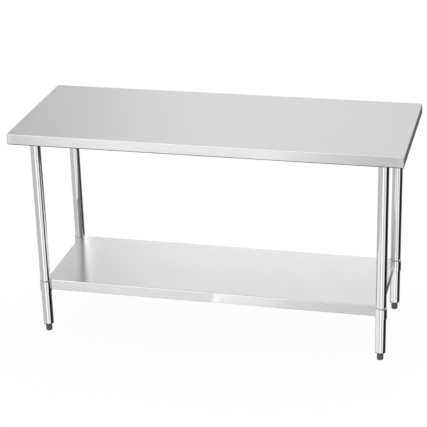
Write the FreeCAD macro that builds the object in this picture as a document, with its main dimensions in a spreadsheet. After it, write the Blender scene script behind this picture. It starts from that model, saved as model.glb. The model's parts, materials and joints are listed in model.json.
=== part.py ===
import FreeCAD, Part
import math
import os
import Sketcher

# Stainless work table, millimetres. The origin is on the floor under the middle of the
# table: +X to the right along the front edge, +Y to the back, +Z up.

DIMENSIONS = [
    # the worktop, a pan of folded sheet
    ("table_width", 1524, "worktop length, left to right"),
    ("table_depth", 610, "worktop depth, front to back"),
    ("table_height", 874, "floor to worktop, feet screwed right in"),
    ("sheet", 1.2, "sheet thickness of worktop and shelf"),
    ("pan_apron", 43, "height of the turned-down edges"),
    ("pan_lip", 14, "width of the return fold under each edge"),
    ("pan_corner", 4, "outer radius of the welded upright corners"),
    ("pan_fold", 3, "outer radius of the fold round the top"),
    ("pan_hem", 2, "outer radius of the fold under the edges"),
    # the hat channels under both pans
    ("hat_crown", 76, "outer width of a channel's crown"),
    ("hat_flange", 20, "width of each flange"),
    ("hat_drop", 20, "depth of a channel"),
    ("hat_sheet", 1.5, "sheet thickness of the channels"),
    ("hat_bend", 1, "inner bend radius"),
    ("cross_half", 300, "half length of the two end channels"),
    ("centre_half", 618, "half length of the worktop's centre channel"),
    ("shelf_hat_half", 640, "half length of the shelf's channel"),
    # weld studs and nuts that hold the worktop channels
    ("stud_size", 6, "thread diameter of a weld stud"),
    ("stud_length", 10, "stud length below the sheet"),
    ("stud_hole", 6.6, "hole in the channel flange"),
    ("stud_pitch", 370, "spacing along the centre channel"),
    ("stud_span", 250, "outer studs of an end channel, from the middle"),
    ("nut_across", 10, "nut size across the flats"),
    ("nut_height", 5, "nut height"),
    # the legs and the sockets that hold them
    ("leg_spread_x", 679, "leg axis from the middle, sideways"),
    ("leg_spread_y", 223, "leg axis from the middle, front to back"),
    ("leg_outer", 41, "outer diameter of a leg tube"),
    ("leg_wall", 1.2, "wall of a leg tube"),
    ("leg_lift", 35, "height of a tube's lower end"),
    ("leg_gap", 0.5, "room between a tube's top and its socket plate"),
    ("socket_play", 0.05, "radial gap between socket and tube"),
    ("socket_wall", 2, "wall of a leg socket"),
    ("socket_depth", 42, "socket height below the channel"),
    ("socket_flare", 16, "height of the flared root"),
    ("socket_flare_reach", 9, "how far the root flares out"),
    ("socket_plate", 2.5, "thickness of the flange plate"),
    ("socket_plate_x", 72, "flange plate, sideways"),
    ("socket_plate_y", 96, "flange plate, front to back"),
    ("socket_screw_drop", 30, "set screw below the channel"),
    # set screws, the same in sockets and sleeves
    ("screw_size", 8, "thread diameter"),
    ("screw_length", 10, "length"),
    ("screw_socket", 4, "hexagon socket across the flats"),
    ("screw_socket_deep", 5, "hexagon socket depth"),
    ("boss_size", 14, "diameter of the threaded boss"),
    ("boss_reach", 29, "end of the boss from the leg axis"),
    # the height-adjustable shelf
    ("shelf_half_x", 677, "shelf half length"),
    ("shelf_half_y", 221.5, "shelf half depth"),
    ("shelf_height", 226, "floor to shelf top"),
    ("sleeve_outer", 46, "outer diameter of a corner sleeve"),
    ("sleeve_play", 0.3, "radial gap between sleeve and leg"),
    ("sleeve_height", 48, "height of a corner sleeve"),
    ("sleeve_rim", 0.8, "bevel of the sleeve's upper rim"),
    ("sleeve_seat", 0.05, "weld gap between sleeve and shelf"),
    ("sleeve_screw_rise", 14, "set screw above the sleeve's lower end"),
    # the adjustable feet
    ("insert_flange", 41, "diameter of the insert's flange"),
    ("insert_mouth", 39, "diameter of the insert's lower end"),
    ("insert_drop", 4.5, "how far the insert shows below the tube"),
    ("insert_rise", 26, "how far the insert reaches into the tube"),
    ("insert_plug", 38.4, "diameter of the insert inside the tube"),
    ("insert_wall", 2.2, "wall of the insert's plug"),
    ("insert_boss", 20, "diameter of the insert's threaded boss"),
    ("stem_size", 12, "thread diameter of the foot stem"),
    ("stem_play", 0.05, "radial running gap round the stem"),
    ("stem_low", 8, "lower end of the stem above the floor"),
    ("stem_high", 84, "upper end of the stem above the floor"),
    ("foot_size", 26, "diameter of the bullet foot"),
    ("foot_height", 30, "height of the bullet foot"),
    ("foot_bevel", 2.5, "bevel round the foot's sole"),
    ("foot_shoulder", 1, "bevel round the foot's top"),
    ("foot_across", 24, "spanner flats of the foot"),
    ("foot_flats", 12, "height of the spanner flats"),
]

# each corner's side: -1 or +1 along X, then along Y
CORNERS = {
    "front_left": (-1, -1),
    "front_right": (1, -1),
    "back_left": (-1, 1),
    "back_right": (1, 1),
}
SOCKET_BORE = "(Sizes.leg_outer / 2 + Sizes.socket_play)"
SOCKET_OUT = "(Sizes.leg_outer / 2 + Sizes.socket_play + Sizes.socket_wall)"
SLEEVE_BORE = "(Sizes.leg_outer / 2 + Sizes.sleeve_play)"
SLEEVE_OUT = "(Sizes.sleeve_outer / 2)"
STEM_BORE = "(Sizes.stem_size / 2 + Sizes.stem_play)"
CHANNEL_TOP = "(Sizes.table_height - Sizes.sheet)"
CHANNEL_CROWN = "(Sizes.table_height - Sizes.sheet - Sizes.hat_drop)"
FLANGE_MIDDLE = "(Sizes.hat_crown / 2 + Sizes.hat_flange / 2)"

doc = FreeCAD.newDocument("WorkTable")
nodes = []


def fill_sheet():
    sheet = doc.addObject("Spreadsheet::Sheet", "Sizes")
    for row, (alias, size, note) in enumerate(DIMENSIONS, start=1):
        sheet.set("A%d" % row, note)
        sheet.set("B%d" % row, str(size))
        sheet.setAlias("B%d" % row, alias)
    doc.recompute()


def signed(sign, expression):
    return "%d * %s" % (sign, expression)


# ---- sketches -------------------------------------------------------------------------

def new_sketch(body, name, role, height="0"):
    """A sketch on one of the body's origin planes, lifted along the plane's normal."""
    sketch = body.newObject("Sketcher::SketchObject", name)
    plane = [item for item in body.Origin.OriginFeatures if item.Role == role][0]
    sketch.AttachmentSupport = [(plane, "")]
    sketch.MapMode = "FlatFace"
    sketch.setExpression(".AttachmentOffset.Base.z", height)
    return sketch


def pin_point(sketch, geometry, point, x, y):
    """Fixes a point of the sketch at two expressions."""
    for kind, expression in (("DistanceX", x), ("DistanceY", y)):
        index = sketch.addConstraint(Sketcher.Constraint(kind, -1, 1, geometry, point, 1.0))
        sketch.setExpression("Constraints[%d]" % index, expression)


def draw_polygon(sketch, corners):
    """A closed outline through corners, given as pairs of expressions."""
    count = len(corners)
    first = sketch.GeometryCount
    turn = 2 * math.pi / count
    ring = [FreeCAD.Vector(math.cos(turn * k), math.sin(turn * k), 0) for k in range(count)]
    for k in range(count):
        sketch.addGeometry(Part.LineSegment(ring[k], ring[(k + 1) % count]), False)
    for k in range(count):
        following = first + (k + 1) % count
        sketch.addConstraint(Sketcher.Constraint("Coincident", first + k, 2, following, 1))
    for k, (x, y) in enumerate(corners):
        pin_point(sketch, first + k, 1, x, y)


def draw_rectangle(sketch, half_x, half_y):
    sides = ((-1, -1), (1, -1), (1, 1), (-1, 1))
    draw_polygon(sketch, [(signed(a, half_x), signed(b, half_y)) for a, b in sides])


def draw_circle(sketch, x, y, diameter):
    round_line = Part.Circle(FreeCAD.Vector(0, 0, 0), FreeCAD.Vector(0, 0, 1), 1)
    geometry = sketch.addGeometry(round_line, False)
    index = sketch.addConstraint(Sketcher.Constraint("Diameter", geometry, 1.0))
    sketch.setExpression("Constraints[%d]" % index, diameter)
    pin_point(sketch, geometry, 3, x, y)


# ---- features -------------------------------------------------------------------------

def new_body(label):
    body = doc.addObject("PartDesign::Body", label)
    body.Label = label
    return body


def add_node(item, label):
    """Counts a finished object as a sub-part of the table."""
    item.Label = label
    nodes.append(item)


def node_body(label, x="0", y="0", z="0", turn=0.0):
    """A body that is a sub-part by itself."""
    body = new_body(label)
    place(body, x, y, z, FreeCAD.Rotation(FreeCAD.Vector(0, 0, 1), turn))
    add_node(body, label)
    return body


def place(item, x, y, z, rotation=FreeCAD.Rotation()):
    item.Placement = FreeCAD.Placement(FreeCAD.Vector(), rotation)
    for axis, expression in zip("xyz", (x, y, z)):
        item.setExpression(".Placement.Base." + axis, expression)


def pad(body, sketch, name, length, both_ways=False):
    feature = body.newObject("PartDesign::Pad", name)
    feature.Profile = sketch
    feature.setExpression("Length", length)
    if both_ways:
        feature.SideType = "Symmetric"
    return feature


def cut_along_normal(body, sketch, name, length):
    """A pocket on the side that the sketch's normal points to; it has to remove material."""
    doc.recompute()
    volume_before = body.Shape.Volume
    feature = body.newObject("PartDesign::Pocket", name)
    feature.Profile = sketch
    feature.Reversed = True
    feature.setExpression("Length", length)
    doc.recompute()
    if body.Shape.Volume >= volume_before:
        raise RuntimeError("%s in %s cuts nothing" % (name, body.Label))
    return feature


def revolve(body, sketch, name):
    feature = body.newObject("PartDesign::Revolution", name)
    feature.Profile = sketch
    feature.ReferenceAxis = (sketch, ["V_Axis"])
    feature.Angle = 360
    return feature


def round_edges(body, name, wanted, radius):
    """Rounds the edges of the body's tip that wanted(bounding box) picks."""
    doc.recompute()
    tip = body.Tip
    picked = []
    for number, edge in enumerate(tip.Shape.Edges, start=1):
        if wanted(edge.BoundBox):
            picked.append("Edge%d" % number)
    feature = body.newObject("PartDesign::Fillet", name)
    feature.Base = (tip, picked)
    feature.setExpression("Radius", radius)
    return feature


def is_flat_at(level):
    return lambda box: abs(box.ZMin - level) < 0.01 and abs(box.ZMax - level) < 0.01


def is_upright(length):
    return lambda box: abs(box.ZLength - length) < 0.01 and box.XLength + box.YLength < 0.01


# ---- worktop and shelf ----------------------------------------------------------------

def rounded_block(body, half_x, half_y, low, height, radii):
    """A block with rounded upright corners, upper edges and lower edges, in that order."""
    outline = new_sketch(body, "outline", "XY_Plane", low)
    draw_rectangle(outline, half_x, half_y)
    block = pad(body, outline, "block", height)
    doc.recompute()
    box = block.Shape.BoundBox
    round_edges(body, "corners", is_upright(box.ZLength), radii[0])
    round_edges(body, "upper_fold", is_flat_at(box.ZMax), radii[1])
    round_edges(body, "lower_fold", is_flat_at(box.ZMin), radii[2])


def folded_pan(label, half_x, half_y, top, notched=False):
    """A sheet with its four edges folded down and their lips folded back underneath: an
    outer block less a smaller one, a sheet's thickness inside it, that opens below.
    In the pan's own frame the lips lie at Z 0 and the flat top at the apron's height."""
    outside = new_body(label + "_outside")
    rounded_block(outside, half_x, half_y, "0", "Sizes.pan_apron",
                  ("Sizes.pan_corner", "Sizes.pan_fold", "Sizes.pan_hem"))
    if notched:
        cut_sleeve_notches(outside)

    hollow = new_body(label + "_hollow")
    rounded_block(hollow, "(%s - Sizes.sheet)" % half_x, "(%s - Sizes.sheet)" % half_y,
                  "Sizes.sheet", "Sizes.pan_apron - 2 * Sizes.sheet",
                  ("Sizes.pan_corner - Sizes.sheet", "Sizes.pan_fold - Sizes.sheet",
                   "Sizes.pan_hem - Sizes.sheet"))
    mouth = new_sketch(hollow, "mouth", "XY_Plane", "-Sizes.sheet")
    draw_rectangle(mouth, "(%s - Sizes.pan_lip)" % half_x, "(%s - Sizes.pan_lip)" % half_y)
    pad(hollow, mouth, "opening", "3 * Sizes.sheet")

    pan = cut(outside, hollow, label)
    place(pan, "0", "0", "%s - Sizes.pan_apron" % top)
    add_node(pan, label)


def cut_sleeve_notches(body):
    """The shelf's corners are cut back to arcs that seat on the four sleeves."""
    notches = new_sketch(body, "notches", "XY_Plane")
    across = "Sizes.sleeve_outer + 2 * Sizes.sleeve_seat"
    for side_x, side_y in CORNERS.values():
        centre_x = signed(side_x, "Sizes.leg_spread_x")
        draw_circle(notches, centre_x, signed(side_y, "Sizes.leg_spread_y"), across)
    cut_along_normal(body, notches, "sleeve_notches", "Sizes.pan_apron + 1")


def worktop():
    folded_pan("worktop_pan", "Sizes.table_width / 2", "Sizes.table_depth / 2",
               "Sizes.table_height")


def shelf():
    folded_pan("shelf_pan", "Sizes.shelf_half_x", "Sizes.shelf_half_y", "Sizes.shelf_height",
               notched=True)


# ---- hat channels ---------------------------------------------------------------------

def hat_channel(label, along_x, half_length, x, z, stud_places=()):
    """A hat section hung under a sheet: flanges up against it, crown down.
    stud_places are holes through the flanges, as expressions (along, across)."""
    body = node_body(label, x=x, z=z)
    profile = new_sketch(body, "section", "YZ_Plane" if along_x else "XZ_Plane")
    tip = "(Sizes.hat_crown / 2 + Sizes.hat_flange)"
    web = "(Sizes.hat_crown / 2)"
    web_inside = "(Sizes.hat_crown / 2 - Sizes.hat_sheet)"
    crown = "-Sizes.hat_drop"
    crown_inside = "-Sizes.hat_drop + Sizes.hat_sheet"
    right_half = [(web_inside, crown_inside), (web_inside, "0"), (tip, "0"),
                  (tip, "-Sizes.hat_sheet"), (web, "-Sizes.hat_sheet"), (web, crown)]
    left_half = [(signed(-1, across), height) for across, height in reversed(right_half)]
    draw_polygon(profile, right_half + left_half)
    pad(body, profile, "run", "2 * %s" % half_length, both_ways=True)

    sizes = doc.getObject("Sizes")
    outer_web = sizes.get("hat_crown") / 2
    inner_web = outer_web - sizes.get("hat_sheet")
    drop = sizes.get("hat_drop")

    def bend_line(web_place, level):
        def wanted(box):
            low, high = (box.YMin, box.YMax) if along_x else (box.XMin, box.XMax)
            on_web = high - low < 0.01 and abs(abs(low) - web_place) < 0.01
            return on_web and abs(box.ZMin - level) < 0.01 and abs(box.ZMax - level) < 0.01
        return wanted

    def any_of(first, second):
        return lambda box: first(box) or second(box)

    outer = any_of(bend_line(inner_web, 0), bend_line(outer_web, -drop))
    round_edges(body, "outer_bends", outer, "Sizes.hat_sheet + Sizes.hat_bend")
    thickness = sizes.get("hat_sheet")
    inner = any_of(bend_line(outer_web, -thickness), bend_line(inner_web, thickness - drop))
    round_edges(body, "inner_bends", inner, "Sizes.hat_bend")

    if stud_places:
        holes = new_sketch(body, "stud_holes", "XY_Plane", "-Sizes.hat_sheet - 1")
        for along, across in stud_places:
            spot = (along, across) if along_x else (across, along)
            draw_circle(holes, spot[0], spot[1], "Sizes.stud_hole")
        cut_along_normal(body, holes, "stud_clearance", "Sizes.hat_sheet + 2")


def studs_of_end_channel():
    return [("%d * Sizes.stud_span" % row, signed(side, FLANGE_MIDDLE))
            for row in (-1, 0, 1) for side in (-1, 1)]


def studs_of_centre_channel():
    return [("%.1f * Sizes.stud_pitch" % place_along, signed(side, FLANGE_MIDDLE))
            for place_along in (-1.5, -0.5, 0.5, 1.5) for side in (-1, 1)]


def worktop_channels():
    for side, word in ((-1, "left"), (1, "right")):
        hat_channel("worktop_channel_" + word, False, "Sizes.cross_half",
                    signed(side, "Sizes.leg_spread_x"), CHANNEL_TOP, studs_of_end_channel())
    hat_channel("worktop_channel_centre", True, "Sizes.centre_half", "0", CHANNEL_TOP,
                studs_of_centre_channel())


def shelf_channel():
    hat_channel("shelf_channel", True, "Sizes.shelf_hat_half", "0",
                "Sizes.shelf_height - Sizes.sheet")


# ---- fasteners ------------------------------------------------------------------------

def cylinder(radius, height):
    item = doc.addObject("Part::Cylinder", "round_bar")
    item.setExpression("Radius", radius)
    item.setExpression("Height", height)
    return item


def hexagon(across_flats, height):
    item = doc.addObject("Part::Prism", "hex_bar")
    item.Polygon = 6
    item.setExpression("Circumradius", "%s / 2 / cos(30)" % across_flats)
    item.setExpression("Height", height)
    return item


def cut(base, tool, name):
    item = doc.addObject("Part::Cut", name)
    item.Base = base
    item.Tool = tool
    return item


def group(label, items):
    compound = doc.addObject("Part::Compound", label)
    compound.Links = items
    compound.Placement = FreeCAD.Placement()
    add_node(compound, label)


def channel_fasteners():
    """Studs welded under the worktop, and the nuts that pull the channels up to it."""
    spots = []
    for side in (-1, 1):
        for along, across in studs_of_end_channel():
            spots.append(("%s + %s" % (signed(side, "Sizes.leg_spread_x"), across), along))
    spots += studs_of_centre_channel()

    studs = []
    nuts = []
    for x, y in spots:
        stud = cylinder("Sizes.stud_size / 2", "Sizes.stud_length")
        place(stud, x, y, "%s - Sizes.stud_length" % CHANNEL_TOP)
        studs.append(stud)
        thread = cylinder("Sizes.stud_size / 2 + 0.05", "Sizes.nut_height")
        nut = cut(hexagon("Sizes.nut_across", "Sizes.nut_height"), thread, "nut")
        place(nut, x, y, "%s - Sizes.hat_sheet - Sizes.nut_height" % CHANNEL_TOP)
        nuts.append(nut)
    group("channel_studs", studs)
    group("channel_nuts", nuts)


def set_screw(x, y, z, outward):
    """A headless screw: its tip is at x, y, z and its hexagon socket faces outward."""
    bar = cylinder("Sizes.screw_size / 2 - 0.05", "Sizes.screw_length")
    key = hexagon("Sizes.screw_socket", "Sizes.screw_socket_deep + 1")
    place(key, "0", "0", "Sizes.screw_length - Sizes.screw_socket_deep")
    screw = cut(bar, key, "screw")
    place(screw, x, y, z, FreeCAD.Rotation(FreeCAD.Vector(0, 0, 1), outward))
    return screw


def set_screws():
    """The sockets' screws point at the legs from the table's middle, the sleeves' screws
    from under the shelf, on the diagonal."""
    in_sockets = []
    in_sleeves = []
    for side_x, side_y in CORNERS.values():
        reach = "(Sizes.leg_spread_x - %s)" % SOCKET_BORE
        height = "%s - Sizes.socket_screw_drop" % CHANNEL_CROWN
        in_sockets.append(set_screw(signed(side_x, reach), signed(side_y, "Sizes.leg_spread_y"),
                                    height, FreeCAD.Vector(-side_x, 0, 0)))
        diagonal = "%s * cos(45)" % SLEEVE_BORE
        x = signed(side_x, "(Sizes.leg_spread_x - %s)" % diagonal)
        y = signed(side_y, "(Sizes.leg_spread_y - %s)" % diagonal)
        height = "Sizes.shelf_height - Sizes.sleeve_height + Sizes.sleeve_screw_rise"
        in_sleeves.append(set_screw(x, y, height, FreeCAD.Vector(-side_x, -side_y, 0)))
    group("socket_set_screws", in_sockets)
    group("sleeve_set_screws", in_sleeves)


def screw_boss(body, wall_start, height):
    """A round boss on the +X side of a ring, drilled through to the ring's bore."""
    seat = new_sketch(body, "boss_seat", "YZ_Plane", wall_start)
    draw_circle(seat, "0", height, "Sizes.boss_size")
    pad(body, seat, "boss", "Sizes.boss_reach - %s" % wall_start)
    drill = new_sketch(body, "screw_line", "YZ_Plane")
    draw_circle(drill, "0", height, "Sizes.screw_size")
    cut_along_normal(body, drill, "screw_hole", "Sizes.boss_reach + 1")


# ---- one corner -----------------------------------------------------------------------

def leg_socket(corner, side_x, side_y):
    """A flared cup on a flange plate, welded under the end channel. The leg fills it."""
    body = node_body("leg_socket_" + corner, signed(side_x, "Sizes.leg_spread_x"),
                    signed(side_y, "Sizes.leg_spread_y"), CHANNEL_CROWN,
                    turn=90 + 90 * side_x)
    section = new_sketch(body, "cup_section", "XZ_Plane")
    flare_out = "%s + Sizes.socket_flare_reach" % SOCKET_OUT
    draw_polygon(section, [
        (SOCKET_BORE, "-Sizes.socket_depth"),
        (SOCKET_OUT, "-Sizes.socket_depth"),
        (SOCKET_OUT, "-Sizes.socket_flare"),
        (flare_out, "-Sizes.socket_plate"),
        (flare_out, "-Sizes.socket_plate / 2"),
        (SOCKET_BORE, "-Sizes.socket_plate / 2"),
    ])
    revolve(body, section, "cup")
    plate = new_sketch(body, "plate_outline", "XY_Plane", "-Sizes.socket_plate")
    draw_rectangle(plate, "Sizes.socket_plate_x / 2", "Sizes.socket_plate_y / 2")
    pad(body, plate, "flange_plate", "Sizes.socket_plate")
    screw_boss(body, "(%s + 0.5)" % SOCKET_BORE, "-Sizes.socket_screw_drop")


def leg_tube(corner, side_x, side_y):
    body = node_body("leg_tube_" + corner, signed(side_x, "Sizes.leg_spread_x"),
                    signed(side_y, "Sizes.leg_spread_y"), "Sizes.leg_lift")
    section = new_sketch(body, "tube_section", "XY_Plane")
    draw_circle(section, "0", "0", "Sizes.leg_outer")
    draw_circle(section, "0", "0", "Sizes.leg_outer - 2 * Sizes.leg_wall")
    pad(body, section, "tube",
        "%s - Sizes.socket_plate - Sizes.leg_gap - Sizes.leg_lift" % CHANNEL_CROWN)


def shelf_sleeve(corner, side_x, side_y):
    """A ring that slides on the leg, welded into the shelf's corner notch."""
    inward = math.degrees(math.atan2(-side_y, -side_x))
    body = node_body("shelf_sleeve_" + corner, signed(side_x, "Sizes.leg_spread_x"),
                    signed(side_y, "Sizes.leg_spread_y"),
                    "Sizes.shelf_height - Sizes.sleeve_height", turn=inward)
    section = new_sketch(body, "ring_section", "XZ_Plane")
    rim_low = "Sizes.sleeve_height - Sizes.sleeve_rim"
    draw_polygon(section, [
        (SLEEVE_BORE, "0"),
        (SLEEVE_OUT, "0"),
        (SLEEVE_OUT, rim_low),
        ("%s - Sizes.sleeve_rim" % SLEEVE_OUT, "Sizes.sleeve_height"),
        ("%s + Sizes.sleeve_rim" % SLEEVE_BORE, "Sizes.sleeve_height"),
        (SLEEVE_BORE, rim_low),
    ])
    revolve(body, section, "ring")
    screw_boss(body, "(%s + 0.5)" % SLEEVE_BORE, "Sizes.sleeve_screw_rise")


def foot_insert(corner, side_x, side_y):
    """The plug in the tube's lower end: a tapered flange, a plug wall and a bored boss."""
    body = node_body("foot_insert_" + corner, signed(side_x, "Sizes.leg_spread_x"),
                    signed(side_y, "Sizes.leg_spread_y"), "Sizes.leg_lift")
    section = new_sketch(body, "insert_section", "XZ_Plane")
    plug_inside = "Sizes.insert_plug / 2 - Sizes.insert_wall"
    draw_polygon(section, [
        (STEM_BORE, "-Sizes.insert_drop"),
        ("Sizes.insert_mouth / 2", "-Sizes.insert_drop"),
        ("Sizes.insert_flange / 2", "-Sizes.insert_drop / 3"),
        ("Sizes.insert_flange / 2", "0"),
        ("Sizes.insert_plug / 2", "0"),
        ("Sizes.insert_plug / 2", "Sizes.insert_rise"),
        (plug_inside, "Sizes.insert_rise"),
        (plug_inside, "Sizes.insert_wall"),
        ("Sizes.insert_boss / 2", "Sizes.insert_wall"),
        ("Sizes.insert_boss / 2", "Sizes.insert_rise"),
        (STEM_BORE, "Sizes.insert_rise"),
    ])
    revolve(body, section, "plug")


def foot_stem(corner, side_x, side_y):
    """The threaded rod of the foot, its thread drawn at full diameter."""
    body = node_body("foot_stem_" + corner, signed(side_x, "Sizes.leg_spread_x"),
                    signed(side_y, "Sizes.leg_spread_y"), "Sizes.stem_low")
    section = new_sketch(body, "stem_section", "XZ_Plane")
    height = "Sizes.stem_high - Sizes.stem_low"
    draw_polygon(section, [
        ("0", "0"),
        ("Sizes.stem_size / 2", "0"),
        ("Sizes.stem_size / 2", "%s - 1" % height),
        ("Sizes.stem_size / 2 - 1", height),
        ("0", height),
    ])
    revolve(body, section, "rod")


def foot_bullet(corner, side_x, side_y):
    """The foot itself: a bevelled drum with spanner flats near its top."""
    body = node_body("foot_bullet_" + corner, signed(side_x, "Sizes.leg_spread_x"),
                    signed(side_y, "Sizes.leg_spread_y"))
    section = new_sketch(body, "foot_section", "XZ_Plane")
    radius = "Sizes.foot_size / 2"
    seat = "Sizes.stem_low - 0.2"
    draw_polygon(section, [
        ("0", "0"),
        ("%s - Sizes.foot_bevel" % radius, "0"),
        (radius, "Sizes.foot_bevel"),
        (radius, "Sizes.foot_height - Sizes.foot_shoulder"),
        ("%s - Sizes.foot_shoulder" % radius, "Sizes.foot_height"),
        (STEM_BORE, "Sizes.foot_height"),
        (STEM_BORE, seat),
        ("0", seat),
    ])
    revolve(body, section, "drum")
    flats = new_sketch(body, "flats_outline", "XY_Plane",
                       "Sizes.foot_height - Sizes.foot_flats")
    hex_corner = "Sizes.foot_across / 2 / cos(30)"
    draw_polygon(flats, [("%s * cos(%d)" % (hex_corner, 60 * k),
                          "%s * sin(%d)" % (hex_corner, 60 * k)) for k in range(6)])
    draw_circle(flats, "0", "0", "Sizes.foot_size + 10")
    cut_along_normal(body, flats, "spanner_flats", "Sizes.foot_flats + 1")


def check_document():
    doc.recompute()
    for item in doc.Objects:
        if "Invalid" in item.State or "Error" in item.State:
            raise RuntimeError("%s did not build: %s" % (item.Label, item.State))
    for node in nodes:
        if node.Shape.isNull() or not node.Shape.isValid():
            raise RuntimeError("%s has no valid shape" % node.Label)


def write_parts():
    os.makedirs("parts", exist_ok=True)
    for node in nodes:
        node.Shape.exportStep("parts/%s.step" % node.Label)
        print("%-28s %2d solid(s) %12.1f mm3" % (node.Label, len(node.Shape.Solids),
                                                 node.Shape.Volume))


fill_sheet()
worktop()
worktop_channels()
channel_fasteners()
for corner_name, (sign_x, sign_y) in CORNERS.items():
    leg_socket(corner_name, sign_x, sign_y)
    leg_tube(corner_name, sign_x, sign_y)
    foot_insert(corner_name, sign_x, sign_y)
    foot_stem(corner_name, sign_x, sign_y)
    foot_bullet(corner_name, sign_x, sign_y)
    shelf_sleeve(corner_name, sign_x, sign_y)
set_screws()
shelf()
shelf_channel()
check_document()
write_parts()
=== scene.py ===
import json
import math

import bmesh
import bpy
from mathutils import Matrix, Vector


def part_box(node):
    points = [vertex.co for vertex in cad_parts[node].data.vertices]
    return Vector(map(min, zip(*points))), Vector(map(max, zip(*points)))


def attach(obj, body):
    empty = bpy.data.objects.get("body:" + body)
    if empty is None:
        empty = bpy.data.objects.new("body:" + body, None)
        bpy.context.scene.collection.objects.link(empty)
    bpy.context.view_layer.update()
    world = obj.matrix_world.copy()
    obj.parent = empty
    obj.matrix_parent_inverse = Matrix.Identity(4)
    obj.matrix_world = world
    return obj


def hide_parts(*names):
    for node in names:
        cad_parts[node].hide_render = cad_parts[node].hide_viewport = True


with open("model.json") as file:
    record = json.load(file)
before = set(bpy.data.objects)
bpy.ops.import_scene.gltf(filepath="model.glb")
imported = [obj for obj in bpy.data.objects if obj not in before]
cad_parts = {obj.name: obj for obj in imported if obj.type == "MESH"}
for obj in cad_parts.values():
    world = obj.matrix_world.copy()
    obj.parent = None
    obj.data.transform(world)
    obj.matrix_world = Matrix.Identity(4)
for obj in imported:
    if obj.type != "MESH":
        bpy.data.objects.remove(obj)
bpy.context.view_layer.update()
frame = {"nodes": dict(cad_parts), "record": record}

CORNERS = {"front_left": (-1, -1), "front_right": (1, -1), "back_left": (-1, 1), "back_right": (1, 1)}

MM = 0.001
SHEET = 1.2 * MM            # the thickness of the pans, and of the legs' wall
LEG_RADIUS = 20.5 * MM
SLEEVE_RADIUS = 23.0 * MM
SLEEVE_BORE = 20.8 * MM
FOOT_TRAVEL = 25.0 * MM     # how far a foot screws out

# ---- camera ---------------------------------------------------------------------------

# The view of the reference photo, from a camera that was fitted to the table's edges in it.
SENSOR = 36.0               # millimetres
LENS = 125.7
CAMERA_PLACE = (1.3123, -5.3319, 2.8126)
CAMERA_YAW = 0.24637        # turned to the left of straight ahead, radians
CAMERA_PITCH = 0.40291      # looking down
CAMERA_ROLL = -0.02852


def make_camera():
    data = bpy.data.cameras.new("camera")
    data.sensor_width = SENSOR
    data.lens = LENS
    camera = bpy.data.objects.new("camera", data)
    turn = (Matrix.Rotation(CAMERA_YAW, 4, "Z")
            @ Matrix.Rotation(math.pi / 2 - CAMERA_PITCH, 4, "X")
            @ Matrix.Rotation(CAMERA_ROLL, 4, "Z"))
    camera.matrix_world = Matrix.Translation(CAMERA_PLACE) @ turn
    bpy.context.scene.collection.objects.link(camera)
    bpy.context.scene.camera = camera


# ---- nodes ----------------------------------------------------------------------------


def add(tree, kind, inputs=None, **settings):
    """One shader node. An input that is a socket is linked, and any other is set."""
    made = tree.nodes.new(kind)
    for name, value in settings.items():
        setattr(made, name, value)
    for name, value in (inputs or {}).items():
        if isinstance(value, bpy.types.NodeSocket):
            tree.links.new(value, made.inputs[name])
        else:
            made.inputs[name].default_value = value
    return made


def calc(tree, operation, a, b=0.0, c=0.0, clamp=False):
    made = add(tree, "ShaderNodeMath", {0: a, 1: b, 2: c}, operation=operation, use_clamp=clamp)
    return made.outputs[0]


def spread(tree, value, low, high, start=0.0, end=1.0):
    """value carried from low..high to start..end in a smooth step, and held outside."""
    made = add(tree, "ShaderNodeMapRange",
               {"Value": value, "From Min": low, "From Max": high, "To Min": start, "To Max": end},
               interpolation_type="SMOOTHSTEP")
    return made.outputs[0]


def noise(tree, vector, scale, detail=2.0, roughness=0.5):
    made = add(tree, "ShaderNodeTexNoise",
               {"Vector": vector, "Scale": scale, "Detail": detail, "Roughness": roughness})
    return made.outputs["Fac"]


def stretched(tree, x, y, z, factors):
    """A place whose axes are scaled one by one, for grain that runs one way."""
    parts = [calc(tree, "MULTIPLY", value, factor) for value, factor in zip((x, y, z), factors)]
    return add(tree, "ShaderNodeCombineXYZ", dict(enumerate(parts))).outputs[0]


def between(tree, factor, low, high):
    """A colour from low to high as factor goes from 0 to 1."""
    made = add(tree, "ShaderNodeMix", {0: factor, 6: (*low, 1.0), 7: (*high, 1.0)}, data_type="RGBA")
    return made.outputs[2]


def new_material(name, metallic, roughness):
    material = bpy.data.materials.new(name)
    material.use_nodes = True
    tree = material.node_tree
    surface = tree.nodes["Principled BSDF"]
    surface.inputs["Metallic"].default_value = metallic
    surface.inputs["Roughness"].default_value = roughness
    return material, tree, surface


def places(tree):
    """A surface point's place in its piece's own axes, in metres, whole and as x, y and z, and its normal."""
    coordinates = add(tree, "ShaderNodeTexCoord")
    x, y, z = add(tree, "ShaderNodeSeparateXYZ", {0: coordinates.outputs["Object"]}).outputs
    return coordinates.outputs["Object"], (x, y, z), coordinates.outputs["Normal"]


# ---- studio ---------------------------------------------------------------------------

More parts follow.
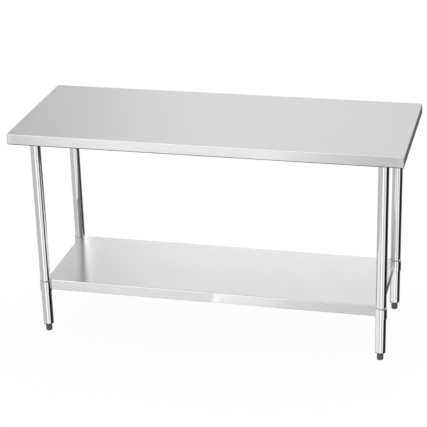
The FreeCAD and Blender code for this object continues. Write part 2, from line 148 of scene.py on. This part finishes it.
# The surround lights the table and shows in its reflections, and the camera itself sees plain white instead.
# It is a plain wall with soft boards in four rings, one above another. Each board is its middle and half
# width in degrees from the front (0) towards +X (90), the width of its soft edge, and its brightness. Later
# boards lie over earlier ones. The values are round numbers, and follow the reflections in the reference
# photo.
PLAIN_WALL = 0.60
LOW_BOARDS = {
    "back_shade": (160, 30, 40, 0.10),
    "black_flag": (95, 20, 15, 0.01),
    "right_softbox": (50, 5, 15, 1.00),
    "front_softbox": (5, 5, 15, 1.30),
}
EYE_BOARDS = {
    "back_shade": (165, 10, 10, 0.10),
    "back_softbox": (-165, 5, 5, 1.10),
    "right_softbox": (120, 20, 10, 0.80),
    "front_shade": (40, 45, 5, 0.15),
    "lamp": (-15, 3, 6, 2.20),
}
HIGH_BOARDS = {
    "front_shade": (55, 35, 30, 0.20),
    "back_softbox": (150, 45, 10, 1.15),
}
UPPER_BOARDS = {
    "back_shade": (180, 20, 40, 0.55),
    "front_softbox": (0, 20, 60, 1.00),
}
# Each ring with the heights between which it takes over from what is below it, as sines of the elevation.
RINGS = (
    ((-0.80, -0.60), LOW_BOARDS),
    ((-0.33, -0.22), EYE_BOARDS),
    ((0.10, 0.25), HIGH_BOARDS),
    ((0.56, 0.66), UPPER_BOARDS),
)
UNDERFOOT = 0.02
OVERHEAD = 1.12
OVERHEAD_FROM = (0.80, 0.95)


def over(tree, cover, below, above):
    """The brightness of one thing laid over another, as cover goes from 0 to 1."""
    return calc(tree, "MULTIPLY_ADD", cover, calc(tree, "SUBTRACT", above, below), below)


def all_round(tree, azimuth, boards):
    """Brightness by azimuth in one ring: the plain wall with soft boards in front of it."""
    grey = PLAIN_WALL
    for middle, half, edge, brightness in boards.values():
        turned_away = calc(tree, "WRAP", calc(tree, "SUBTRACT", azimuth, middle), 180.0, -180.0)
        cover = spread(tree, calc(tree, "ABSOLUTE", turned_away), half, half + edge, 1.0, 0.0)
        grey = over(tree, cover, grey, brightness)
    return grey


def make_world():
    world = bpy.data.worlds.new("studio")
    bpy.context.scene.world = world
    world.use_nodes = True
    tree = world.node_tree
    coordinates = add(tree, "ShaderNodeTexCoord")
    x, y, z = add(tree, "ShaderNodeSeparateXYZ", {0: coordinates.outputs["Generated"]}).outputs
    radians = calc(tree, "ARCTAN2", x, calc(tree, "MULTIPLY", y, -1.0))
    azimuth = calc(tree, "MULTIPLY", radians, math.degrees(1.0))
    grey = UNDERFOOT
    for (low, high), boards in RINGS:
        grey = over(tree, spread(tree, z, low, high), grey, all_round(tree, azimuth, boards))
    grey = over(tree, spread(tree, z, *OVERHEAD_FROM), grey, OVERHEAD)
    seen = add(tree, "ShaderNodeLightPath").outputs["Is Camera Ray"]
    shown = add(tree, "ShaderNodeMix", {0: seen, 6: grey, 7: (1.0, 1.0, 1.0, 1.0)}, data_type="RGBA")
    tree.links.new(shown.outputs[2], tree.nodes["Background"].inputs[0])


def blank_material(name):
    """A material with no surface shader yet."""
    material = bpy.data.materials.new(name)
    material.use_nodes = True
    tree = material.node_tree
    tree.nodes.remove(tree.nodes["Principled BSDF"])
    return material, tree


def show_one_side(tree, lit):
    """Shows a shader on the front of a face, and leaves its back clear."""
    clear = add(tree, "ShaderNodeBsdfTransparent").outputs[0]
    behind = add(tree, "ShaderNodeNewGeometry").outputs["Backfacing"]
    sided = add(tree, "ShaderNodeMixShader", {0: behind, 1: lit, 2: clear}).outputs[0]
    tree.links.new(sided, tree.nodes["Material Output"].inputs["Surface"])


def make_floor():
    """A wide pale floor, just under the lowest reach of the feet.

    At that level it hides no part of a foot that is screwed out.
    """
    mesh = bpy.data.meshes.new("floor")
    half = 40.0
    level = -FOOT_TRAVEL - 0.5 * MM
    corners = [(-half, -half, level), (half, -half, level), (half, half, level), (-half, half, level)]
    mesh.from_pydata(corners, [], [(0, 1, 2, 3)])
    floor = bpy.data.objects.new("floor", mesh)
    bpy.context.scene.collection.objects.link(floor)
    floor.visible_glossy = False
    material, tree = blank_material("floor_paper")
    paper = add(tree, "ShaderNodeBsdfDiffuse", {"Color": (0.07, 0.07, 0.07, 1.0)}).outputs[0]
    glow = add(tree, "ShaderNodeEmission", {"Strength": 0.95}).outputs[0]
    show_one_side(tree, add(tree, "ShaderNodeAddShader", {0: paper, 1: glow}).outputs[0])
    mesh.materials.append(material)


def make_card(name, across, upward, strength, tint=(1.0, 1.0, 1.0)):
    """An upright board from one floor place (x, y) to another, seen only in reflections, and from one side.

    Its lit side is on the left of someone who walks along it from the first place to the second.
    """
    (x0, y0), (x1, y1) = across
    low, high = upward
    mesh = bpy.data.meshes.new(name)
    mesh.from_pydata([(x1, y1, low), (x0, y0, low), (x0, y0, high), (x1, y1, high)], [], [(0, 1, 2, 3)])
    card = bpy.data.objects.new(name, mesh)
    bpy.context.scene.collection.objects.link(card)
    card.visible_camera = False
    card.visible_diffuse = False
    card.visible_shadow = False
    material, tree = blank_material(name + "_paper")
    glow = add(tree, "ShaderNodeEmission", {"Color": (*tint, 1.0), "Strength": strength}).outputs[0]
    show_one_side(tree, glow)
    mesh.materials.append(material)


def make_cards():
    """Three cards: for the shelf's front edge, its left end, and the streak beside the back left leg."""
    make_card("side_card", ((0.0, 0.1), (0.0, -1.5)), (-0.8, 0.16), 0.95)
    make_card("shade_card", ((-0.75, 0.42), (-1.30, 0.42)), (0.10, 0.80), 0.65)
    make_card("strip_card", ((-0.715, 0.40), (-0.740, 0.40)), (0.15, 0.75), 1.8, (1.0, 0.95, 0.94))


# ---- materials ------------------------------------------------------------------------


def near_corner(tree, x, y, ends):
    """1 beside an upright corner, where the sheet is ground after welding and a painted highlight of the
    rounded corner lightens it, and 0 away from it.
    """
    fading, full = 30 * MM, 6 * MM
    past_x = spread(tree, calc(tree, "ABSOLUTE", x), ends.x - fading, ends.x - full)
    past_y = spread(tree, calc(tree, "ABSOLUTE", y), ends.y - fading, ends.y - full)
    return calc(tree, "MULTIPLY", past_x, past_y)


def brushed_steel(name, shade, roughness, box, edge, hem):
    """Sheet brushed along its length, and along its width on the two end faces.

    edge scales the colour of the turned-down edges beside the top: above 1 it is painted light and below 1
    painted shade on those sides. hem is how high the painted shade along the rolled hem's underside reaches.
    """
    material, tree, surface = new_material(name, 1.0, roughness)
    place, (x, y, z), normal = places(tree)
    low, high = box
    facing_x, _, facing_z = add(tree, "ShaderNodeSeparateXYZ", {0: normal}).outputs
    on_end = calc(tree, "GREATER_THAN", calc(tree, "ABSOLUTE", facing_x), 0.7)
    on_edge = spread(tree, calc(tree, "ABSOLUTE", facing_z), 0.3, 0.7, 1.0, 0.0)
    along = add(tree, "ShaderNodeMix", {0: on_end, 2: x, 3: y}).outputs[0]
    across = add(tree, "ShaderNodeMix", {0: on_end, 2: y, 3: x}).outputs[0]
    fine = noise(tree, stretched(tree, along, across, z, (14.0, 2300.0, 2300.0)), 1.0, 3.0, 0.6)
    broad = noise(tree, stretched(tree, along, across, z, (3.0, 330.0, 330.0)), 1.0, 4.0, 0.6)
    hands = noise(tree, place, 5.0, 5.0, 0.6)
    mark = calc(tree, "MULTIPLY_ADD", spread(tree, hands, 0.5, 0.9), 0.02, roughness)
    mark = calc(tree, "MULTIPLY_ADD", calc(tree, "SUBTRACT", fine, 0.5), 0.06, mark)
    mark = calc(tree, "MULTIPLY_ADD", calc(tree, "SUBTRACT", broad, 0.5), 0.06, mark)
    tree.links.new(mark, surface.inputs["Roughness"])
    dark = tuple(value * 0.955 for value in shade)
    light = tuple(value * 1.03 for value in shade)
    grain = calc(tree, "MULTIPLY_ADD", fine, 0.45, calc(tree, "MULTIPLY", broad, 0.55))
    brushed = between(tree, spread(tree, grain, 0.3, 0.7), dark, light)
    at_corner = calc(tree, "MULTIPLY", near_corner(tree, x, y, high), on_edge)
    # Lightens the sheet by 12% beside the upright corners: partly its ground finish, partly a painted
    # highlight of the rounded corner.
    ground_and_highlight = calc(tree, "MULTIPLY_ADD", at_corner, 0.12, 1.0)
    # Painted light and shade: the turned-down edges' colour is scaled by edge, brighter or darker than the
    # top.
    painted_edge_shading = calc(tree, "MULTIPLY_ADD", on_edge, edge - 1.0, 1.0)
    # Painted shade: the colour darkens to 0.30 along the rolled hem's underside, up to the height hem.
    painted_hem_shade = spread(tree, z, low.z + 0.7 * hem, low.z + hem, 0.30, 1.0)
    # Painted highlight: the colour is lightened by up to 22% on the rounded bends between the upright and
    # level faces.
    rising = spread(tree, calc(tree, "ABSOLUTE", facing_z), 0.05, 0.40)
    falling = spread(tree, calc(tree, "ABSOLUTE", facing_z), 0.70, 0.98, 1.0, 0.0)
    painted_fold_highlight = calc(tree, "MULTIPLY_ADD", calc(tree, "MULTIPLY", rising, falling), 0.22, 1.0)
    brighter = calc(tree, "MULTIPLY", ground_and_highlight, painted_edge_shading)
    whole = calc(tree, "MULTIPLY", brighter, calc(tree, "MULTIPLY", painted_hem_shade, painted_fold_highlight))
    tinted = add(tree, "ShaderNodeVectorMath", {0: brushed, "Scale": whole}, operation="SCALE")
    tree.links.new(tinted.outputs[0], surface.inputs["Base Color"])
    bump = add(tree, "ShaderNodeBump", {"Strength": 0.25, "Distance": 0.00002, "Height": fine})
    tree.links.new(bump.outputs[0], surface.inputs["Normal"])
    surface.inputs["Anisotropic"].default_value = 1.0
    grooves = add(tree, "ShaderNodeVectorMath", {0: normal, 1: (1.0, 0.05, 0.0)}, operation="CROSS_PRODUCT")
    tree.links.new(grooves.outputs[0], surface.inputs["Tangent"])
    return material


def polished_steel(name, shade, roughness):
    """Tube polished round and round, with very fine rings, rubbed marks and a weld seam along its +X side."""
    material, tree, surface = new_material(name, 1.0, roughness)
    place, (x, y, z), _ = places(tree)
    rings = noise(tree, stretched(tree, x, y, z, (25.0, 25.0, 2600.0)), 1.0, 3.0, 0.6)
    rubbed = noise(tree, place, 14.0, 5.0, 0.65)
    mark = calc(tree, "MULTIPLY_ADD", spread(tree, rubbed, 0.5, 0.8), 0.03, roughness)
    mark = calc(tree, "MULTIPLY_ADD", calc(tree, "SUBTRACT", rings, 0.5), 0.04, mark)
    angle = calc(tree, "ABSOLUTE", calc(tree, "ARCTAN2", y, x))
    seam = spread(tree, angle, 0.012, 0.05, 1.0, 0.0)
    mark = calc(tree, "MULTIPLY_ADD", seam, 0.12, mark)
    tree.links.new(mark, surface.inputs["Roughness"])
    dark = tuple(value * 0.96 for value in shade)
    tone = spread(tree, rings, 0.3, 0.6)
    tone = calc(tree, "SUBTRACT", tone, calc(tree, "MULTIPLY", seam, 0.8), clamp=True)
    tree.links.new(between(tree, tone, dark, shade), surface.inputs["Base Color"])
    bump = add(tree, "ShaderNodeBump", {"Strength": 0.12, "Distance": 0.00001, "Height": rings})
    tree.links.new(bump.outputs[0], surface.inputs["Normal"])
    return material


def weld_steel(name):
    """A brushed-off weld bead, with the straw and blue tints that heat leaves."""
    material, tree, surface = new_material(name, 1.0, 0.34)
    place, _, _ = places(tree)
    tint = noise(tree, place, 160.0, 3.0, 0.6)
    ramp = add(tree, "ShaderNodeValToRGB", {0: tint})
    straw, blue = ramp.color_ramp.elements
    straw.position = 0.35
    straw.color = (0.66, 0.62, 0.54, 1.0)
    blue.position = 0.62
    blue.color = (0.56, 0.58, 0.62, 1.0)
    tree.links.new(ramp.outputs[0], surface.inputs["Base Color"])
    grit = noise(tree, place, 900.0, 2.0, 0.6)
    tree.links.new(calc(tree, "MULTIPLY_ADD", grit, 0.2, 0.26), surface.inputs["Roughness"])
    bump = add(tree, "ShaderNodeBump", {"Strength": 0.4, "Distance": 0.00008, "Height": grit})
    tree.links.new(bump.outputs[0], surface.inputs["Normal"])
    return material


def galvanised_steel(name, shade, roughness):
    """Zinc-coated sheet with the pale and dark patches of its crystals."""
    material, tree, surface = new_material(name, 1.0, roughness)
    place, _, _ = places(tree)
    wander = add(tree, "ShaderNodeTexNoise", {"Vector": place, "Scale": 40.0}).outputs["Color"]
    bent = add(tree, "ShaderNodeMix", {0: 0.02, 4: place, 5: wander}, data_type="VECTOR")
    crystals = add(tree, "ShaderNodeTexVoronoi", {"Vector": bent.outputs[1], "Scale": 110.0})
    patch = add(tree, "ShaderNodeSeparateColor", {0: crystals.outputs["Color"]}).outputs[0]
    grain = noise(tree, place, 420.0, 3.0, 0.6)
    mixed = calc(tree, "MULTIPLY_ADD", patch, 0.7, calc(tree, "MULTIPLY", grain, 0.3))
    dark = tuple(value * 0.82 for value in shade)
    tree.links.new(between(tree, mixed, dark, shade), surface.inputs["Base Color"])
    tree.links.new(calc(tree, "MULTIPLY_ADD", mixed, 0.16, roughness), surface.inputs["Roughness"])
    bump = add(tree, "ShaderNodeBump", {"Strength": 0.2, "Distance": 0.00005, "Height": mixed})
    tree.links.new(bump.outputs[0], surface.inputs["Normal"])
    return material


def moulded_plastic(name, shade, roughness):
    """Dark plastic with a fine spark-eroded grain and paler rubbed patches."""
    material, tree, surface = new_material(name, 0.0, roughness)
    place, _, _ = places(tree)
    grain = noise(tree, place, 1900.0, 3.0, 0.6)
    rubbed = noise(tree, place, 90.0, 4.0, 0.65)
    pale = tuple(value * 1.6 for value in shade)
    tree.links.new(between(tree, spread(tree, rubbed, 0.5, 0.8), shade, pale), surface.inputs["Base Color"])
    tree.links.new(calc(tree, "MULTIPLY_ADD", rubbed, 0.16, roughness), surface.inputs["Roughness"])
    bump = add(tree, "ShaderNodeBump", {"Strength": 0.35, "Distance": 0.0001, "Height": grain})
    tree.links.new(bump.outputs[0], surface.inputs["Normal"])
    return material


# ---- shapes ---------------------------------------------------------------------------

def arc(centre, radius, start, end, steps):
    """Points of a circle's arc in a flat section, from one angle in degrees to another."""
    points = []
    for step in range(steps + 1):
        angle = math.radians(start + (end - start) * step / steps)
        points.append((centre[0] + radius * math.cos(angle), centre[1] + radius * math.sin(angle)))
    return points


def piece(name, rings, material, body, nodes=(), place=(0.0, 0.0), turn=0.0, loop=True, sharp=32.0):
    """A closed surface through rings of points, which rides on a body.

    loop joins the last ring to the first. Without it both are capped.
    """
    shape = bmesh.new()
    rows = [[shape.verts.new(point) for point in ring] for ring in rings]
    pairs = list(zip(rows, rows[1:]))
    if loop:
        pairs.append((rows[-1], rows[0]))
    else:
        shape.faces.new(rows[0][::-1])
        shape.faces.new(rows[-1])
    for low, high in pairs:
        for near in range(len(low)):
            far = (near + 1) % len(low)
            shape.faces.new((low[near], low[far], high[far], high[near]))
    bmesh.ops.recalc_face_normals(shape, faces=shape.faces[:])
    mesh = bpy.data.meshes.new(name)
    shape.to_mesh(mesh)
    shape.free()
    mesh.shade_smooth()
    mesh.set_sharp_from_angle(angle=math.radians(sharp))
    mesh.materials.append(material)
    made = bpy.data.objects.new(name, mesh)
    bpy.context.scene.collection.objects.link(made)
    made.location = (place[0], place[1], 0.0)
    made.rotation_euler = (0.0, 0.0, turn)
    weighted = made.modifiers.new("weighted", "WEIGHTED_NORMAL")
    weighted.keep_sharp = True
    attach(made, body)
    if nodes:
        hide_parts(*nodes)


def turned(profile, segments=96, shape=None):
    """Rings of a profile of (radius, height) turned about Z.

    shape(radius, height, angle) may change a radius.
    """
    rings = []
    for radius, height in profile:
        ring = []
        for step in range(segments):
            angle = 2 * math.pi * step / segments
            reach = shape(radius, height, angle) if shape else radius
            ring.append((reach * math.cos(angle), reach * math.sin(angle), height))
        rings.append(ring)
    return rings


def frame_ring(half_x, half_y, inset, radius, height, steps=8):
    """A rounded rectangle, inset from its outer size, at one height."""
    corner = max(radius - inset, 0.25 * MM)
    ring = []
    for sign_x, sign_y, start in ((1, 1, 0), (-1, 1, 90), (-1, -1, 180), (1, -1, 270)):
        centre = (sign_x * (half_x - inset - corner), sign_y * (half_y - inset - corner))
        ring += [(x, y, height) for x, y in arc(centre, corner, start, start + 90, steps)]
    return ring


def make_worktop():
    """One folded sheet: top, rounded fold, turned-down edge, rolled hem and a lip under it."""
    low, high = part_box("worktop_pan")
    fold, hem, lip, corner = 3.0 * MM, 4.2 * MM, 14.0 * MM, 4.0 * MM
    outside = arc((fold, high.z - fold), fold, 90, 180, 6) + arc((hem, low.z + hem), hem, 180, 270, 8)
    edge = [(lip - 0.3 * MM, low.z), (lip, low.z + 0.3 * MM), (lip, low.z + SHEET)]
    inside = arc((hem, low.z + hem), hem - SHEET, 270, 180, 8)
    inside += arc((fold, high.z - fold), fold - SHEET, 180, 90, 6)
    rings = [frame_ring(high.x, high.y, inset, corner, height) for inset, height in outside + edge + inside]
    piece("worktop_skin", rings, MATERIALS["worktop_sheet"], "table_frame", ["worktop_pan"],
          loop=False)


def make_leg(name, place, turn):
    low, high = (corner.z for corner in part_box("leg_tube_" + name))
    rim, inner = 0.4 * MM, LEG_RADIUS - SHEET
    profile = arc((LEG_RADIUS - rim, low + rim), rim, 270, 360, 3)
    profile += [(LEG_RADIUS, high - rim), (LEG_RADIUS - rim, high), (inner, high), (inner, low)]
    piece("leg_polished_" + name, turned(profile, 128), MATERIALS["leg_steel"], "table_frame",
          ["leg_tube_" + name], place, turn)


def make_sleeve(name, place, turn):
    """A turned sleeve with a neck under its top rim."""
    low, high = (corner.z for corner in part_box("shelf_sleeve_" + name))
    neck = SLEEVE_RADIUS - 1.0 * MM
    profile = [(SLEEVE_BORE, high - 0.5 * MM), (SLEEVE_BORE + 0.4 * MM, high)]
    profile += arc((SLEEVE_RADIUS - 0.5 * MM, high - 0.5 * MM), 0.5 * MM, 90, 0, 4)
    profile += [(SLEEVE_RADIUS, high - 1.0 * MM), (neck, high - 3.4 * MM), (neck, high - 3.9 * MM)]
    profile += [(SLEEVE_RADIUS - 0.2 * MM, high - 4.9 * MM), (SLEEVE_RADIUS, high - 5.3 * MM)]
    profile += arc((SLEEVE_RADIUS - 0.8 * MM, low + 0.8 * MM), 0.8 * MM, 0, -90, 4)
    profile += [(SLEEVE_BORE + 0.4 * MM, low), (SLEEVE_BORE, low + 0.4 * MM)]
    piece("sleeve_turned_" + name, turned(profile, 128), MATERIALS["sleeve_steel"], "undershelf",
          ["shelf_sleeve_" + name], place, turn)


def make_boss(name, place, turn):
    """The threaded boss that stands out of a sleeve toward the table's middle, with a weld fillet."""
    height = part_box("shelf_sleeve_" + name)[0].z + 14.0 * MM
    bore, start, reach = 4.0 * MM, 21.4 * MM, 29.0 * MM
    profile = [(bore, start), (9.0 * MM, start), (8.4 * MM, start + 0.6 * MM), (7.5 * MM, start + 1.4 * MM)]
    profile += [(7.0 * MM, start + 2.4 * MM)] + arc((6.4 * MM, reach - 0.6 * MM), 0.6 * MM, 0, 90, 3)
    profile += [(bore + 0.5 * MM, reach), (bore, reach - 0.5 * MM)]
    rings = [[(along, x, y + height) for x, y, along in ring] for ring in turned(profile, 48)]
    piece("boss_sleeve_" + name, rings, MATERIALS["sleeve_steel"], "undershelf",
          (), place, turn)


def make_insert(name, place, turn):
    """The moulded plug in the leg's end: a fluted, tapered flange below, and a stepped plug in the tube."""
    low, high = (corner.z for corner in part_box("foot_insert_" + name))
    bore, flange, foot = 6.05 * MM, LEG_RADIUS, 19.5 * MM
    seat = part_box("leg_tube_" + name)[0].z

    def fluted(radius, height, angle):
        if not (low + 0.2 * MM < height < seat - 0.4 * MM and radius > 12 * MM):
            return radius
        return radius - 0.45 * MM * max(0.0, math.cos(18 * angle)) ** 2

    profile = [(bore, low), (foot - 0.5 * MM, low), (foot, low + 0.4 * MM)]
    profile += arc((foot, seat - 2.6 * MM), flange - foot, -70, 0, 5)
    profile += [(flange, seat - 0.05 * MM), (19.1 * MM, seat - 0.05 * MM), (19.1 * MM, high - 1.0 * MM),
                (18.4 * MM, high), (16.4 * MM, high), (16.4 * MM, seat + 3.0 * MM)]
    profile += [(10.0 * MM, seat + 3.0 * MM), (10.0 * MM, high), (bore, high)]
    piece("insert_moulded_" + name, turned(profile, 144, fluted), MATERIALS["foot_plastic"], "table_frame",
          ["foot_insert_" + name], place, turn)


def make_stem(name, place, turn):
    """The foot's threaded rod, with its helical thread."""
    low, high = (corner.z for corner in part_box("foot_stem_" + name))
    pitch, crest, depth, around = 1.75 * MM, 6.0 * MM, 0.95 * MM, 40
    steps = round((high - low) / pitch * 8)
    rings = []
    for step in range(steps + 1):
        height = low + (high - low) * step / steps
        fade = min(1.0, (height - low) / pitch, (high - height) / pitch)
        ring = []
        for spot in range(around):
            angle = 2 * math.pi * spot / around
            wave = abs(((height / pitch - spot / around) % 1.0) * 2 - 1)
            groove = min(1.0, max(0.0, wave * 1.5 - 0.25))
            reach = crest - depth * groove * fade - 0.5 * MM * (1 - fade)
            ring.append((reach * math.cos(angle), reach * math.sin(angle), height))
        rings.append(ring)
    piece("stem_threaded_" + name, rings, MATERIALS["fastener_steel"], "foot_" + name,
          ["foot_stem_" + name], place, turn, loop=False, sharp=80.0)


def make_bullet(name, place, turn):
    """The moulded foot: a round body with six flats for a wrench above and a rounded sole below."""
    low, high = (corner.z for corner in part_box("foot_bullet_" + name))
    body, flat, bore = 13.0 * MM, 12.0 * MM, 6.0 * MM
    ledge = high - 12.0 * MM

    def hexagonal(radius, height, angle):
        if height < ledge + 0.1 * MM:
            return radius
        sixth = math.pi / 3
        limit = flat / math.cos((angle + sixth / 2) % sixth - sixth / 2)
        return min(radius, limit)

    profile = [(1.0 * MM, low + 0.6 * MM), (7.5 * MM, low + 0.6 * MM), (8.0 * MM, low), (10.3 * MM, low)]
    profile += arc((10.5 * MM, low + 2.5 * MM), 2.5 * MM, -80, 0, 6)
    profile += [(body, ledge - 0.3 * MM), (body - 0.2 * MM, ledge), (body, ledge + 0.25 * MM)]
    profile += [(body, high - 1.2 * MM), (body - 0.35 * MM, high - 0.6 * MM), (body - 1.3 * MM, high)]
    profile += [(bore + 1.0 * MM, high), (bore + 0.06 * MM, high - 1.0 * MM)]
    piece("bullet_moulded_" + name, turned(profile, 96, hexagonal), MATERIALS["foot_plastic"], "foot_" + name,
          ["foot_bullet_" + name], place, turn, loop=False)


def bead(path, radius, around=10):
    """Rings of a weld bead laid along a path, thick and thin as its ripples come and go."""
    rings = []
    for index, spot in enumerate(path):
        ahead = (path[min(index + 1, len(path) - 1)] - path[max(index - 1, 0)]).normalized()
        side = ahead.orthogonal().normalized()
        up = ahead.cross(side)
        thick = radius * (1.0 + 0.16 * math.cos(index * math.pi / 2))
        if index in (0, len(path) - 1):
            thick *= 0.35
        rings.append([spot + thick * (math.cos(a) * side + math.sin(a) * up)
                      for a in (2 * math.pi * step / around for step in range(around))])
    return rings


def make_welds(name, signs):
    """The beads that join a sleeve to the shelf: one round the notch on top and one down each edge."""
    shelf_low, shelf_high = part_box("shelf_pan")
    leg_low, leg_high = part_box("leg_tube_" + name)
    axis = (leg_low + leg_high) / 2
    inward_x, inward_y = -signs[0], -signs[1]
    reach = SLEEVE_RADIUS + 0.3 * MM
    top = shelf_high.z - 0.4 * MM
    beads = {"top": []}
    for step in range(49):
        angle = math.radians(6 + 78 * step / 48)
        across, along = reach * math.cos(angle), reach * math.sin(angle)
        beads["top"].append(Vector((axis.x + inward_x * across, axis.y + inward_y * along, top)))
    bottom, rise = shelf_low.z + 3 * MM, shelf_high.z - shelf_low.z - 6 * MM
    for label, x, y in (("side", axis.x + inward_x * SLEEVE_RADIUS, signs[1] * shelf_high.y),
                        ("end", signs[0] * shelf_high.x, axis.y + inward_y * SLEEVE_RADIUS)):
        beads[label] = [Vector((x, y, bottom + rise * step / 40)) for step in range(41)]
    for label, path in beads.items():
        piece("weld_%s_%s" % (label, name), bead(path, 1.1 * MM), MATERIALS["weld_steel"], "undershelf",
              (), loop=False, sharp=80.0)


# ---- making ---------------------------------------------------------------------------

make_camera()
make_world()
make_floor()
make_cards()
bpy.context.scene.view_settings.view_transform = "Standard"

MATERIALS = {
    # The worktop's and the shelf's sheets are one brushed steel. The shelf's paler shade is painted light,
    # making up for the shade that the worktop above casts on it; edge paints light on the worktop's
    # turned-down edges and shade on the shelf's, and hem paints shade along each rolled hem.
    "worktop_sheet": brushed_steel("worktop_sheet", (0.725, 0.725, 0.725), 0.24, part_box("worktop_pan"),
                                   edge=1.065, hem=4.6 * MM),
    "shelf_sheet": brushed_steel("shelf_sheet", (0.91, 0.91, 0.91), 0.23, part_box("shelf_pan"),
                                 edge=0.91, hem=1.2 * MM),
    "channel_steel": galvanised_steel("channel_steel", (0.66, 0.67, 0.68), 0.34),
    "socket_steel": galvanised_steel("socket_steel", (0.64, 0.65, 0.66), 0.32),
    "fastener_steel": galvanised_steel("fastener_steel", (0.60, 0.61, 0.63), 0.26),
    "leg_steel": polished_steel("leg_steel", (0.86, 0.86, 0.855), 0.06),
    "sleeve_steel": polished_steel("sleeve_steel", (0.86, 0.86, 0.855), 0.07),
    "weld_steel": weld_steel("weld_steel"),
    "foot_plastic": moulded_plastic("foot_plastic", (0.10, 0.10, 0.102), 0.42),
}

SLOT_OF = {part["node"]: part["material_slot"] for part in frame["record"]["subparts"]}
for name, node in frame["nodes"].items():
    node.data.materials.clear()
    node.data.materials.append(MATERIALS[SLOT_OF[name]])

make_worktop()
for name, (sign_x, sign_y) in CORNERS.items():
    tube_low, tube_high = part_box("leg_tube_" + name)
    axis = ((tube_low.x + tube_high.x) / 2, (tube_low.y + tube_high.y) / 2)
    inward = math.atan2(-sign_y, -sign_x)
    make_leg(name, axis, inward)
    make_sleeve(name, axis, inward)
    make_boss(name, axis, inward)
    make_insert(name, axis, inward)
    make_stem(name, axis, inward)
    make_bullet(name, axis, inward)
    make_welds(name, (sign_x, sign_y))
